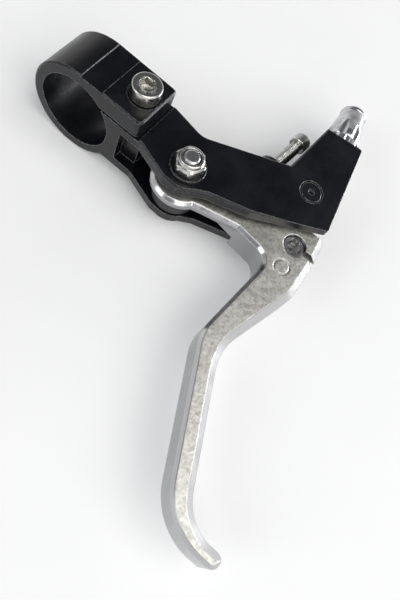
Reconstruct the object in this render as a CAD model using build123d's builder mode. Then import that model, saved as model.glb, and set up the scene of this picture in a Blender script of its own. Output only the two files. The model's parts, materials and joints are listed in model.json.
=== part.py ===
from build123d import *
from math import cos, radians, sin, tan
import os

os.makedirs("parts", exist_ok=True)

# Brake lever for flat handlebars, with the cable run of a linear-pull brake. Millimetres.
# Frame: origin at the centre of the handlebar clamp, X along the bar towards the blade's tip,
# Y from the bar towards the pivot, Z along the pivot axis towards the nut side.

# Handlebar clamp
bar_radius = 11.1
ring_wall = 3.1
clamp_width = 16.4
slit_gap = 0.8
clamp_screw_radius = 2.5
clamp_screw_wall = 1.0
flap_end_wall = 0.95
clamp_head_radius = 4.25
clamp_head_height = 5.0
clamp_spotface = 0.8
clamp_screw_grip = 14.0
clamp_screw_runout = 2.0
flap_recess = 0.3
flap_recess_front = 7.0
flap_edge = 0.5
flap_corner_radius = 1.5

# Housing: two cheeks with an open slot between them, closed by a nose that holds the barrel
cheek_nut_face = 8.6
cheek_bolt_face = -9.2
cheek_thickness = 3.3
slit_step = 0.8
edge_break = 0.5
pad_edge = 0.3
wall_thickness = 2.8
ring_gap = 0.8
screw_column_side = 3.0
screw_column_wall = 3.2
arm_bend_inset = 1.8
arm_bend_radius = 6.0
crease_inset = 1.9
nose_corner_radius = 0.8
crease_reach = 20.4
crease_angle = 2.4
corner_inboard = 14.0
corner_reach = 40.2
inner_corner_inboard = 23.2
nose_length = 39.0
nose_rear_width = 6.9
nose_front_wall = 1.2
arm_straight = 13.5
mark_radius = 3.6
mark_line = 0.5
mark_reach = 9.4
mark_depth = 0.6

# Pivot
pivot_x = 4.8
pivot_y = 34.6
pivot_end_radius = 7.0
pivot_bolt_radius = 2.5
pivot_head_radius = 4.1
pivot_head_height = 2.4
pivot_pad_radius = 6.4
pivot_pad_height = 1.0
sleeve_wall = 1.1
bush_wall = 1.1
bush_flange_radius = 6.6
bush_flange_thickness = 0.7
spacer_flange_thickness = 3.2
washer_radius = 6.1
thrust_washer_thickness = 0.4
spring_washer_thickness = 0.3
nut_across_flats = 8.0
nut_height = 4.0
nut_washer_radius = 5.2
nut_washer_thickness = 0.9
bolt_end = 0.2

# Clearances
running_clearance = 0.04
screw_clearance = 0.1
free_clearance = 0.3
side_clearance = 0.1

# Longer than any piece, for cuts that run right through
far = 100.0

# Lever blade
lever_bolt_face = -6.8
boss_radius = 8.7
boss_core_radius = 6.6
arm_flange = 2.4
arm_overhang = 4.5
blade_angle = 25.5
elbow_outboard = 31.7
elbow_reach = 29.6
elbow_width = 6.8
outer_length = 46.7
blade_width = 6.0
hook_angle = 62.5
hook_length = 15.2
tip_width = 4.2
blade_bevel = 1.0
front_bevel = 2.0
elbow_radius = 12.0
front_elbow_radius = 16.0
knuckle_radius = 18.0
head_corner_radius = 9.0
head_corner_inboard = 25.0
rear_corner_radius = 4.5
head_front_slope = 0.145
head_corner_drop = 0.5
head_front_reach = 43.6
arm_flank_inboard = 13.5
ejector_outboard = 2.0
ejector_radius = 2.5
ejector_depth = 0.3

# Cable anchor, a slotted barrel that swivels in the lever's head
anchor_inboard = 6.1
anchor_reach = 35.6
anchor_radius = 3.45
anchor_recess = 1.1
anchor_floor = 2.2
anchor_slot_depth = 4.6
nipple_radius = 2.3
cable_slot = 2.0

# Cable inlet: lock ring, barrel adjuster and the seat for the cable's housing
cable_angle = 10.0
barrel_thread_radius = 4.0
barrel_thread_length = 12.0
barrel_runout = 1.0
cable_room = 12.0
lock_ring_radius = 6.4
lock_ring_length = 4.6
lock_ring_notches = 10
knob_root_radius = 5.5
knob_tip_radius = 4.3
knob_length = 14.0
knob_flutes = 8
housing_bore_radius = 2.6
housing_bore_depth = 9.0
seat_wall = 0.7
seat_floor = 1.2
cable_hole_radius = 1.1

# Reach screw
reach_angle = 6.5
reach_screw_reach = 15.2
reach_screw_radius = 1.95
reach_head_radius = 2.8
reach_head_height = 3.6
reach_screw_length = 24.0
reach_boss_radius = 4.4
reach_boss_start = 6.0
reach_boss_length = 5.0
socket_depth = 2.0
hex_key = 4.0
reach_key = 2.5

# Derived places, all of the head's and the nose's measured from the pivot
clamp_screw_y = bar_radius + clamp_screw_radius + clamp_screw_wall
flap_reach = clamp_screw_y + clamp_head_radius + flap_end_wall
crease_y = pivot_y + crease_reach
corner_x = pivot_x - corner_inboard
corner_y = pivot_y + corner_reach
inner_corner_x = pivot_x - inner_corner_inboard
elbow_x = pivot_x + elbow_outboard
elbow_y = pivot_y + elbow_reach
head_front_y = pivot_y + head_front_reach
arm_flank_x = pivot_x - arm_flank_inboard
anchor_x = pivot_x - anchor_inboard
anchor_y = pivot_y + anchor_reach
reach_y = pivot_y + reach_screw_reach
ring_radius = bar_radius + ring_wall
half_width = clamp_width / 2
housing_depth = cheek_nut_face - cheek_bolt_face
slot_low = cheek_bolt_face + cheek_thickness
slot_high = cheek_nut_face - cheek_thickness
slot_depth = slot_high - slot_low
slit_floor = cheek_nut_face - slit_step
flap_floor = slit_floor + slit_gap
sleeve_radius = pivot_bolt_radius + screw_clearance + sleeve_wall
bush_bore = sleeve_radius + running_clearance
bush_radius = bush_bore + bush_wall
boss_bolt_face = slot_low + thrust_washer_thickness + side_clearance + spacer_flange_thickness
spring_washer_level = slot_high - thrust_washer_thickness - spring_washer_thickness
lever_nut_face = spring_washer_level - 2 * side_clearance - bush_flange_thickness
barrel_bore = barrel_thread_radius + screw_clearance
mark_fall = mark_reach * tan(radians(crease_angle))
cable_plane = Plane(
    origin=(anchor_x, anchor_y, 0),
    x_dir=(0, 0, 1),
    z_dir=(-cos(radians(cable_angle)), -sin(radians(cable_angle)), 0),
)
reach_plane = Plane(
    origin=(arm_flank_x - free_clearance, reach_y, 0),
    x_dir=(0, 0, 1),
    z_dir=(-cos(radians(reach_angle)), sin(radians(reach_angle)), 0),
)
cable_axis = Axis(cable_plane.origin, cable_plane.z_dir)
cable_section = Plane(origin=cable_plane.origin, x_dir=cable_plane.z_dir, z_dir=(0, 0, 1))
reach_section = Plane(origin=reach_plane.origin, x_dir=reach_plane.z_dir, z_dir=(0, 0, 1))
pivot_plane = Plane(origin=(pivot_x, pivot_y, 0))
pivot_axis = Axis((pivot_x, pivot_y, 0), (0, 0, 1))
clamp_screw_plane = Plane(origin=(0, clamp_screw_y, ring_radius - clamp_spotface))
nut_seat = cheek_nut_face + nut_washer_thickness
bolt_length = pivot_pad_height + housing_depth + nut_washer_thickness + nut_height + bolt_end
ring_start = nose_length + side_clearance
knob_start = ring_start + lock_ring_length + free_clearance
knob_end = knob_start + knob_length
seat_radius = housing_bore_radius + seat_wall
seat_start = knob_end - 2 * side_clearance - housing_bore_depth - seat_floor


def on_cable(distance, offset):
    """Point in the XY plane at a distance along the cable line, offset towards the front."""
    a = radians(cable_angle)
    return (
        anchor_x - distance * cos(a) - offset * sin(a),
        anchor_y - distance * sin(a) + offset * cos(a),
    )


def on_blade(distance, offset):
    """Point in the XY plane along the blade's outer stretch, offset towards the front."""
    a = radians(blade_angle)
    return (
        elbow_x + distance * cos(a) - offset * sin(a),
        elbow_y + distance * sin(a) + offset * cos(a),
    )


# Outline of both cheeks, from the clamp round the pivot to the nose and back
nose_front = on_cable(nose_length, barrel_bore + nose_front_wall)
nose_rear = on_cable(nose_length, -nose_rear_width)
cheek_corner = (corner_x, corner_y)
crease_corner = (pivot_x - crease_inset, crease_y)
inner_corner = (inner_corner_x, crease_y + 0.2)
arm_bend = (-half_width + arm_bend_inset, pivot_y - pivot_end_radius * 0.4)

with BuildSketch() as cheek_outline:
    with BuildLine():
        Polyline(
            (half_width, 0),
            (half_width, pivot_y - arm_straight),
            (pivot_x + pivot_end_radius, pivot_y - 3.0),
            (pivot_x + pivot_end_radius, pivot_y + 1.5),
            (pivot_x + 2.2, pivot_y + 8.8),
            crease_corner,
            cheek_corner,
            nose_front,
            nose_rear,
            inner_corner,
            arm_bend,
            (-half_width, pivot_y - arm_straight),
            (-half_width, 0),
            close=True,
        )
    make_face()
    with Locations((pivot_x, pivot_y)):
        Circle(pivot_end_radius)
    fillet(cheek_outline.vertices().sort_by_distance(nose_front)[0], nose_corner_radius)
    fillet(cheek_outline.vertices().sort_by_distance(cheek_corner)[0], nose_corner_radius)
    fillet(cheek_outline.vertices().sort_by_distance(arm_bend)[0], arm_bend_radius)

# Open slot between the cheeks, clear of the ring, the inboard wall and the nose
wall_end = (inner_corner_x + wall_thickness, crease_y + 3.0)
screw_column_front = clamp_screw_y + clamp_screw_radius + screw_column_wall
with BuildSketch() as slot_outline:
    with BuildLine():
        Polyline(
            (far, ring_radius + ring_gap),
            (half_width - screw_column_side, ring_radius + ring_gap),
            (half_width - screw_column_side, screw_column_front),
            (arm_bend[0] + wall_thickness + ring_gap, screw_column_front),
            (arm_bend[0] + wall_thickness, pivot_y - 2.0),
            wall_end,
            (wall_end[0] - 3.4, crease_y + 9.0),
            (wall_end[0] - 4.6, far),
            (far, far),
            close=True,
        )
    make_face()
    with Locations((pivot_x, pivot_y)):
        Circle(boss_radius + free_clearance)

# ---- bracket: clamp ring, flap, cheeks and nose cast in one piece
with BuildPart() as bracket:
    with BuildSketch(Plane.XY.offset(cheek_bolt_face)):
        add(cheek_outline.sketch)
    extrude(amount=housing_depth)
    chamfer(bracket.faces().sort_by(Axis.Z)[-1].edges(), edge_break)
    chamfer(bracket.faces().sort_by(Axis.Z)[0].edges(), edge_break)
    with BuildSketch(Plane.XY.offset(slot_low)):
        add(slot_outline.sketch)
    extrude(amount=slot_depth, mode=Mode.SUBTRACT)
    # outer faces fall away past the crease
    crease_fall = far * tan(radians(crease_angle))
    with BuildSketch(Plane.YZ.offset(-far)):
        with BuildLine():
            Polyline(
                (crease_y, cheek_nut_face),
                (crease_y + far, cheek_nut_face),
                (crease_y + far, cheek_nut_face - crease_fall),
                close=True,
            )
        make_face()
        with BuildLine():
            Polyline(
                (crease_y, cheek_bolt_face),
                (crease_y + far, cheek_bolt_face),
                (crease_y + far, cheek_bolt_face + crease_fall),
                close=True,
            )
        make_face()
    extrude(amount=2 * far, mode=Mode.SUBTRACT)
    # step under the flap
    with BuildSketch(Plane.YZ.offset(-half_width)):
        with Locations((0, slit_floor)):
            Rectangle(flap_reach + slit_gap, slit_step, align=(Align.MIN, Align.MIN))
    extrude(amount=clamp_width, mode=Mode.SUBTRACT)
    # clamp ring and the flap that runs off it as a tangent
    with BuildSketch(Plane.YZ.offset(-half_width)):
        Circle(ring_radius)
        with Locations((0, flap_floor)):
            Rectangle(flap_reach, ring_radius - flap_floor, align=(Align.MIN, Align.MIN))
    extrude(amount=clamp_width)
    flap_end = bracket.faces().sort_by_distance((0, flap_reach, (flap_floor + ring_radius) / 2))[0]
    fillet(flap_end.edges().filter_by(Axis.Z), flap_corner_radius)
    flap_top = bracket.faces().sort_by_distance((0, flap_reach / 2, ring_radius))[0]
    chamfer(flap_top.edges().filter_by(lambda edge: edge.center().Y > flap_reach / 2 + 0.1), flap_edge)
    # shallow recess across the flap behind the screw
    with BuildSketch(Plane.YZ.offset(-half_width)):
        with Locations((0, ring_radius - flap_recess)):
            Rectangle(flap_recess_front, flap_recess, align=(Align.MIN, Align.MIN))
    extrude(amount=clamp_width, mode=Mode.SUBTRACT)
    # slit from the bore out to the step
    with BuildSketch(Plane.YZ.offset(-half_width)):
        with Locations((0, slit_floor)):
            Rectangle(flap_reach + slit_gap, slit_gap, align=(Align.MIN, Align.MIN))
    extrude(amount=clamp_width, mode=Mode.SUBTRACT)
    with BuildSketch(Plane.YZ.offset(-half_width)):
        Circle(bar_radius)
    extrude(amount=clamp_width, mode=Mode.SUBTRACT)
    # raised pad under the pivot bolt's head
    with BuildSketch(pivot_plane.offset(cheek_bolt_face + edge_break)):
        Circle(pivot_pad_radius)
    extrude(amount=-(pivot_pad_height + edge_break))
    chamfer(bracket.faces().sort_by(Axis.Z)[0].edges(), pad_edge)
    with BuildSketch(pivot_plane.offset(cheek_bolt_face - pivot_pad_height)):
        Circle(pivot_bolt_radius + screw_clearance)
    extrude(amount=housing_depth + pivot_pad_height, mode=Mode.SUBTRACT)
    # clamp screw: spot face, clearance hole in the flap, tapped hole in the arm
    with BuildSketch(Plane.XY.offset(ring_radius - clamp_spotface)):
        with Locations((0, clamp_screw_y)):
            Circle(clamp_head_radius + free_clearance)
    extrude(amount=clamp_spotface, mode=Mode.SUBTRACT)
    with BuildSketch(clamp_screw_plane.offset(-clamp_screw_grip - clamp_screw_runout)):
        Circle(clamp_screw_radius + screw_clearance)
    extrude(amount=clamp_screw_grip + clamp_screw_runout, mode=Mode.SUBTRACT)
    # boss and tapped hole for the reach screw
    with BuildSketch(reach_plane.offset(reach_boss_start)):
        Circle(reach_boss_radius)
    extrude(amount=reach_boss_length)
    with BuildSketch(reach_plane):
        Circle(reach_screw_radius + screw_clearance)
    extrude(amount=reach_screw_length, mode=Mode.SUBTRACT)
    # tapped hole for the barrel, with the cable's way through the nose
    with BuildSketch(cable_plane.offset(nose_length - barrel_thread_length - barrel_runout)):
        Circle(barrel_bore)
    extrude(amount=barrel_thread_length + 2 * barrel_runout, mode=Mode.SUBTRACT)
    with BuildSketch(cable_plane.offset(cable_room)):
        Circle(cable_slot)
    extrude(amount=nose_length - cable_room, mode=Mode.SUBTRACT)
    # slit along the front of the nose, through which the cable is laid in
    with BuildSketch(cable_plane.offset(cable_room)):
        Rectangle(cable_slot, far, align=(Align.CENTER, Align.MIN))
    extrude(amount=nose_length - cable_room + barrel_runout, mode=Mode.SUBTRACT)
    # plain round foundry mark
    with BuildSketch(Plane.XY.offset(cheek_nut_face - mark_fall - mark_depth)):
        with Locations((inner_corner_x + 2.6, crease_y + mark_reach)):
            Circle(mark_radius)
            Circle(mark_radius - mark_line, mode=Mode.SUBTRACT)
            Circle(mark_radius / 4)
    extrude(amount=mark_fall + mark_depth, mode=Mode.SUBTRACT)

bracket.part.label = "bracket"
export_step(bracket.part, "parts/bracket.step")

# ---- pivot: bolt, nut, washers, and the sleeve that keeps the cheeks apart
with BuildPart() as pivot_bolt:
    with BuildSketch(pivot_plane.offset(cheek_bolt_face - pivot_pad_height)):
        Circle(pivot_head_radius)
    extrude(amount=-pivot_head_height)
    fillet(pivot_bolt.faces().sort_by(Axis.Z)[0].edges(), 0.9)
    with BuildSketch(pivot_plane.offset(cheek_bolt_face - pivot_pad_height - pivot_head_height)):
        RegularPolygon(hex_key / 2, 6, major_radius=False)
    extrude(amount=socket_depth - 0.2, mode=Mode.SUBTRACT)
    with BuildSketch(pivot_plane.offset(cheek_bolt_face - pivot_pad_height)):
        Circle(pivot_bolt_radius)
    extrude(amount=bolt_length)
    chamfer(pivot_bolt.faces().sort_by(Axis.Z)[-1].edges(), 0.4)
pivot_bolt.part.label = "pivot_bolt"
export_step(pivot_bolt.part, "parts/pivot_bolt.step")

with BuildPart() as pivot_sleeve:
    with BuildSketch(pivot_plane.offset(slot_low)):
        Circle(sleeve_radius)
        Circle(pivot_bolt_radius + screw_clearance, mode=Mode.SUBTRACT)
    extrude(amount=slot_depth)
pivot_sleeve.part.label = "pivot_sleeve"
export_step(pivot_sleeve.part, "parts/pivot_sleeve.step")

with BuildPart() as nut_washer:
    with BuildSketch(pivot_plane.offset(cheek_nut_face)):
        Circle(nut_washer_radius)
        Circle(pivot_bolt_radius + screw_clearance, mode=Mode.SUBTRACT)
    extrude(amount=nut_washer_thickness)
    chamfer(nut_washer.faces().sort_by(Axis.Z)[-1].edges().sort_by(SortBy.LENGTH)[-1], 0.2)
nut_washer.part.label = "nut_washer"
export_step(nut_washer.part, "parts/nut_washer.step")

with BuildPart() as pivot_nut:
    with BuildSketch(pivot_plane.offset(nut_seat)):
        RegularPolygon(nut_across_flats / 2, 6, major_radius=False)
    extrude(amount=nut_height)
    # corners turned off on both faces
    with BuildSketch(Plane.XZ.offset(-pivot_y)):
        with BuildLine():
            Polyline(
                (pivot_x, nut_seat),
                (pivot_x + nut_across_flats / 2 - 0.1, nut_seat),
                (pivot_x + nut_across_flats / 2 + 0.8, nut_seat + 0.5),
                (pivot_x + nut_across_flats / 2 + 0.8, nut_seat + nut_height - 0.5),
                (pivot_x + nut_across_flats / 2 - 0.1, nut_seat + nut_height),
                (pivot_x, nut_seat + nut_height),
                close=True,
            )
        make_face()
    revolve(axis=pivot_axis, mode=Mode.INTERSECT)
    with BuildSketch(pivot_plane.offset(nut_seat)):
        Circle(pivot_bolt_radius)
    extrude(amount=nut_height, mode=Mode.SUBTRACT)
pivot_nut.part.label = "pivot_nut"
export_step(pivot_nut.part, "parts/pivot_nut.step")

# flat washers against the inner faces of both cheeks, and a spring washer that takes up play
washer_levels = {
    "thrust_washer_bolt_side": (slot_low, thrust_washer_thickness),
    "thrust_washer_nut_side": (slot_high - thrust_washer_thickness, thrust_washer_thickness),
    "spring_washer": (spring_washer_level, spring_washer_thickness),
}
for node, (level, thickness) in washer_levels.items():
    with BuildPart() as washer:
        with BuildSketch(pivot_plane.offset(level)):
            Circle(washer_radius)
            Circle(bush_bore, mode=Mode.SUBTRACT)
        extrude(amount=thickness)
    washer.part.label = node
    export_step(washer.part, f"parts/{node}.step")

# flanged bushes pressed into the lever's boss from both sides
boss_middle = (lever_nut_face + boss_bolt_face) / 2
bush_sides = {
    "flange_bush_nut_side": (boss_middle + side_clearance, lever_nut_face, bush_flange_thickness),
    "flange_bush_bolt_side": (boss_middle - side_clearance, boss_bolt_face, -spacer_flange_thickness),
}
for node, (inner_end, face, flange) in bush_sides.items():
    with BuildPart() as bush:
        with BuildSketch(pivot_plane.offset(inner_end)):
            Circle(bush_radius)
        extrude(amount=face - inner_end)
        with BuildSketch(pivot_plane.offset(face)):
            Circle(bush_flange_radius)
        extrude(amount=flange)
        with BuildSketch(pivot_plane.offset(slot_low)):
            Circle(bush_bore)
        extrude(amount=slot_depth, mode=Mode.SUBTRACT)
    bush.part.label = node
    export_step(bush.part, f"parts/{node}.step")

# ---- clamp screw
with BuildPart() as clamp_screw:
    with BuildSketch(clamp_screw_plane):
        Circle(clamp_head_radius)
    extrude(amount=clamp_head_height)
    chamfer(clamp_screw.faces().sort_by(Axis.Z)[-1].edges(), 0.5)
    with BuildSketch(clamp_screw_plane.offset(clamp_head_height - socket_depth - 0.5)):
        RegularPolygon(hex_key / 2, 6, major_radius=False)
    extrude(amount=socket_depth + 0.5, mode=Mode.SUBTRACT)
    with BuildSketch(clamp_screw_plane.offset(-clamp_screw_grip)):
        Circle(clamp_screw_radius)
    extrude(amount=clamp_screw_grip)
    chamfer(clamp_screw.faces().sort_by(Axis.Z)[0].edges(), 0.4)
clamp_screw.part.label = "clamp_screw"
export_step(clamp_screw.part, "parts/clamp_screw.step")

# ---- reach screw, tapped through the inboard wall, its tip against the lever's arm
with BuildPart() as reach_screw:
    with BuildSketch(reach_section):
        with BuildLine():
            Polyline(
                (0, 0),
                (0, reach_screw_radius - 0.4),
                (0.4, reach_screw_radius),
                (reach_screw_length, reach_screw_radius),
                (reach_screw_length, reach_head_radius - 0.3),
                (reach_screw_length + 0.3, reach_head_radius),
                (reach_screw_length + reach_head_height - 0.5, reach_head_radius),
                (reach_screw_length + reach_head_height, reach_head_radius - 0.5),
                (reach_screw_length + reach_head_height, 0),
                close=True,
            )
        make_face()
    revolve(axis=Axis(reach_plane.origin, reach_plane.z_dir))
    with BuildSketch(reach_plane.offset(reach_screw_length + reach_head_height - socket_depth)):
        RegularPolygon(reach_key / 2, 6, major_radius=False)
    extrude(amount=socket_depth, mode=Mode.SUBTRACT)
reach_screw.part.label = "reach_screw"
export_step(reach_screw.part, "parts/reach_screw.step")

# ---- cable inlet, turned about the cable's line
with BuildPart() as lock_ring:
    with BuildSketch(cable_section):
        with BuildLine():
            Polyline(
                (ring_start, barrel_bore),
                (ring_start, lock_ring_radius - 0.4),
                (ring_start + 0.4, lock_ring_radius),
                (ring_start + lock_ring_length - 0.8, lock_ring_radius),
                (ring_start + lock_ring_length, lock_ring_radius - 0.8),
                (ring_start + lock_ring_length, barrel_bore),
                close=True,
            )
        make_face()
    revolve(axis=cable_axis)
    with BuildSketch(cable_plane.offset(ring_start)):
        with PolarLocations(lock_ring_radius + 0.5, lock_ring_notches):
            Circle(1.2)
    extrude(amount=lock_ring_length, mode=Mode.SUBTRACT)
    with BuildSketch(cable_plane.offset(ring_start)):
        Rectangle(cable_slot, 2 * lock_ring_radius, align=(Align.CENTER, Align.MIN))
    extrude(amount=lock_ring_length, mode=Mode.SUBTRACT)
lock_ring.part.label = "lock_ring"
export_step(lock_ring.part, "parts/lock_ring.step")

with BuildPart() as barrel_adjuster:
    with BuildSketch(cable_section):
        with BuildLine():
            Polyline(
                (nose_length - barrel_thread_length, cable_hole_radius),
                (nose_length - barrel_thread_length, barrel_thread_radius - 0.5),
                (nose_length - barrel_thread_length + 0.5, barrel_thread_radius),
                (knob_start, barrel_thread_radius),
                (knob_start, knob_root_radius - 0.5),
                (knob_start + 0.5, knob_root_radius),
                (knob_start + 3.0, knob_root_radius),
                (knob_end - 1.6, knob_tip_radius - 0.2),
                (knob_end - 1.2, knob_tip_radius),
                (knob_end - 0.4, knob_tip_radius),
                (knob_end, knob_tip_radius - 0.4),
                (knob_end, seat_radius + running_clearance),
                (seat_start, seat_radius + running_clearance),
                (seat_start, cable_hole_radius),
                close=True,
            )
        make_face()
    revolve(axis=cable_axis)
    with BuildSketch(cable_plane.offset(knob_start)):
        with PolarLocations(knob_root_radius + 0.9, knob_flutes, start_angle=360 / knob_flutes / 2):
            Circle(1.5)
    extrude(amount=knob_length - 3.5, mode=Mode.SUBTRACT)
    with BuildSketch(cable_plane.offset(nose_length - barrel_thread_length)):
        Rectangle(cable_slot, 2 * lock_ring_radius, align=(Align.CENTER, Align.MIN))
    extrude(amount=barrel_thread_length + lock_ring_length + knob_length + 2, mode=Mode.SUBTRACT)
barrel_adjuster.part.label = "barrel_adjuster"
export_step(barrel_adjuster.part, "parts/barrel_adjuster.step")

with BuildPart() as housing_seat:
    with BuildSketch(cable_section):
        with BuildLine():
            Polyline(
                (seat_start + side_clearance, cable_hole_radius),
                (seat_start + side_clearance, seat_radius),
                (knob_end - side_clearance, seat_radius),
                (knob_end - side_clearance, housing_bore_radius),
                (knob_end - side_clearance - housing_bore_depth, housing_bore_radius),
                (knob_end - side_clearance - housing_bore_depth, cable_hole_radius),
                close=True,
            )
        make_face()
    revolve(axis=cable_axis)
    with BuildSketch(cable_plane.offset(seat_start)):
        Rectangle(cable_slot, 2 * lock_ring_radius, align=(Align.CENTER, Align.MIN))
    extrude(amount=knob_length, mode=Mode.SUBTRACT)
housing_seat.part.label = "housing_seat"
export_step(housing_seat.part, "parts/housing_seat.step")

# ---- lever blade: pivot boss and arm between the cheeks, head and blade outside them
cheek_edge = (Vector(*cheek_corner) - Vector(*crease_corner)).normalized()
cheek_outward = Vector(cheek_edge.Y, -cheek_edge.X)
head_low = Vector(*crease_corner) + cheek_outward * 0.6
head_high = Vector(*cheek_corner) + cheek_outward * 0.6
hook = radians(hook_angle)
tip_rear = (outer_length + hook_length * cos(hook), hook_length * sin(hook))
tip_front = (tip_rear[0] - tip_width * sin(hook), tip_rear[1] + tip_width * cos(hook))
hook_front = (tip_front[0] - (tip_front[1] - blade_width) / tan(hook), blade_width)
rear_corner = (pivot_x + 2.4, elbow_y + 2.6)
front_elbow = (elbow_x, elbow_y + elbow_width)
head_front = (elbow_x - head_corner_inboard, head_front_y)
head_middle = (anchor_x, head_front_y - head_corner_drop)
head_side = (corner_x + 1.0, head_middle[1] - head_front_slope * (anchor_x - corner_x - 1.0))
rounded_corners = [
    (rear_corner, rear_corner_radius),
    ((elbow_x, elbow_y), elbow_radius),
    (on_blade(outer_length, 0), knuckle_radius),
    (on_blade(*tip_rear), tip_width * 0.46),
    (on_blade(*tip_front), tip_width * 0.46),
]
front_corners = [
    (on_blade(*hook_front), elbow_radius),
    (front_elbow, front_elbow_radius),
    (head_front, head_corner_radius),
]

with BuildSketch() as blade_outline:
    with BuildLine():
        Polyline(
            (head_high.X, head_high.Y),
            (head_low.X, head_low.Y),
            (pivot_x + 1.2, crease_y),
            rear_corner,
            (elbow_x, elbow_y),
            on_blade(outer_length, 0),
            on_blade(*tip_rear),
            on_blade(*tip_front),
            on_blade(*hook_front),
            front_elbow,
            head_front,
            head_middle,
            head_side,
            close=True,
        )
    make_face()
    for corner, radius in rounded_corners + front_corners:
        fillet(blade_outline.vertices().sort_by_distance(corner)[0], radius)

with BuildSketch() as arm_outline:
    with BuildLine():
        Polyline(
            (pivot_x + boss_radius - 1.7, pivot_y + 1.0),
            (pivot_x + 4.2, pivot_y + 9.5),
            (pivot_x + 1.2, crease_y),
            (anchor_x + 3.0, crease_y + 6.0),
            (anchor_x + 3.0, head_front_y - 4.0),
            head_side,
            (arm_flank_x - 0.9, head_side[1] - 1.0),
            (arm_flank_x - 0.9, crease_y + 4.0),
            (arm_flank_x, crease_y),
            (arm_flank_x, reach_y - 3.0),
            (pivot_x - boss_radius + 2.2, pivot_y + 1.0),
            close=True,
        )
    make_face()
    with Locations((pivot_x, pivot_y)):
        Circle(boss_radius)

# Core under the arm's flange, set back from it along the outboard side
with BuildSketch() as core_outline:
    with BuildLine():
        Polyline(
            (pivot_x + boss_core_radius - 1.2, pivot_y + 1.0),
            (pivot_x + 4.2 - arm_overhang, pivot_y + 9.5),
            (pivot_x + 1.2, crease_y),
            (anchor_x, crease_y + 6.0),
            (anchor_x, head_front_y - 4.0),
            head_side,
            (arm_flank_x - 0.9, head_side[1] - 1.0),
            (arm_flank_x - 0.9, crease_y + 4.0),
            (arm_flank_x, crease_y),
            (arm_flank_x, reach_y - 3.0),
            (pivot_x - boss_core_radius + 1.2, pivot_y + 1.0),
            close=True,
        )
    make_face()
    with Locations((pivot_x, pivot_y)):
        Circle(boss_core_radius)

# The front line run on past both ends, for the wider bevel along the front of the nut side
front_run_on = on_blade(hook_front[0] + far * cos(hook), hook_front[1] + far * sin(hook))
with BuildSketch() as front_outline:
    with BuildLine():
        Polyline(
            (head_side[0] - far, head_side[1] - far * head_front_slope),
            head_side,
            head_middle,
            head_front,
            front_elbow,
            on_blade(*hook_front),
            front_run_on,
            (far, -far),
            (-far, -far),
            close=True,
        )
    make_face()
    for corner, radius in front_corners:
        fillet(front_outline.vertices().sort_by_distance(corner)[0], radius)

with BuildPart() as front_limit:
    with BuildSketch(Plane.XY.offset(lever_nut_face - arm_flange)):
        add(front_outline.sketch)
    extrude(amount=arm_flange)
    front_line = front_limit.faces().sort_by(Axis.Z)[-1].edges()
    chamfer(front_line.filter_by(lambda edge: edge.center().Y > crease_y), front_bevel)

with BuildPart() as lever_blade:
    with BuildSketch(Plane.XY.offset(lever_nut_face - arm_flange)):
        add(arm_outline.sketch)
        add(blade_outline.sketch)
    extrude(amount=arm_flange)
    chamfer(lever_blade.faces().sort_by(Axis.Z)[-1].edges(), blade_bevel)
    add(front_limit.part, mode=Mode.INTERSECT)
    with BuildSketch(Plane.XY.offset(boss_bolt_face)):
        add(core_outline.sketch)
        add(blade_outline.sketch)
    extrude(amount=lever_nut_face - arm_flange - boss_bolt_face)
    with BuildSketch(Plane.XY.offset(lever_bolt_face)):
        add(blade_outline.sketch)
    extrude(amount=boss_bolt_face - lever_bolt_face)
    chamfer(lever_blade.faces().sort_by(Axis.Z)[0].edges(), blade_bevel)
    with BuildSketch(pivot_plane.offset(boss_bolt_face)):
        Circle(bush_radius)
    extrude(amount=lever_nut_face - boss_bolt_face, mode=Mode.SUBTRACT)
    # pocket for the cable anchor, and the slots through which the cable is laid in
    with BuildSketch(Plane.XY.offset(lever_bolt_face + anchor_floor)):
        with Locations((anchor_x, anchor_y)):
            Circle(anchor_radius + running_clearance)
    extrude(amount=lever_nut_face - lever_bolt_face - anchor_floor, mode=Mode.SUBTRACT)
    with BuildSketch(Plane.XY.offset(-cable_slot / 2)):
        with Locations(Location((anchor_x, anchor_y), 90)):
            Rectangle(12, cable_slot, align=(Align.MIN, Align.CENTER))
    extrude(amount=lever_nut_face + cable_slot / 2, mode=Mode.SUBTRACT)
    with BuildSketch(Plane.XY.offset(-cable_slot / 2)):
        with Locations((anchor_x, anchor_y)):
            Rectangle(16, 12, align=(Align.MAX, Align.MIN))
        with Locations(Location((anchor_x, anchor_y), cable_angle)):
            Rectangle(16, cable_slot, align=(Align.MAX, Align.CENTER))
    extrude(amount=cable_slot, mode=Mode.SUBTRACT)
    # round mark left by an ejector pin
    with BuildSketch(Plane.XY.offset(lever_nut_face - ejector_depth)):
        with Locations((pivot_x + ejector_outboard, anchor_y + 0.6)):
            Circle(ejector_radius)
            Circle(ejector_radius - mark_line, mode=Mode.SUBTRACT)
    extrude(amount=ejector_depth, mode=Mode.SUBTRACT)
lever_blade.part.label = "lever_blade"
export_step(lever_blade.part, "parts/lever_blade.step")

with BuildPart() as cable_anchor:
    anchor_top = lever_nut_face - anchor_recess
    anchor_base = lever_bolt_face + anchor_floor + side_clearance
    with BuildSketch(Plane.XY.offset(anchor_base)):
        with Locations((anchor_x, anchor_y)):
            Circle(anchor_radius)
    extrude(amount=anchor_top - anchor_base)
    chamfer(cable_anchor.faces().sort_by(Axis.Z)[-1].edges(), 0.3)
    with BuildSketch(Plane.XY.offset(anchor_top - anchor_slot_depth)):
        with Locations(Location((anchor_x, anchor_y), cable_angle)):
            Rectangle(2 * anchor_radius, cable_slot - 0.2, align=(Align.MAX, Align.CENTER))
        with Locations((anchor_x, anchor_y)):
            Circle(nipple_radius)
    extrude(amount=anchor_slot_depth, mode=Mode.SUBTRACT)
cable_anchor.part.label = "cable_anchor"
export_step(cable_anchor.part, "parts/cable_anchor.step")
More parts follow.
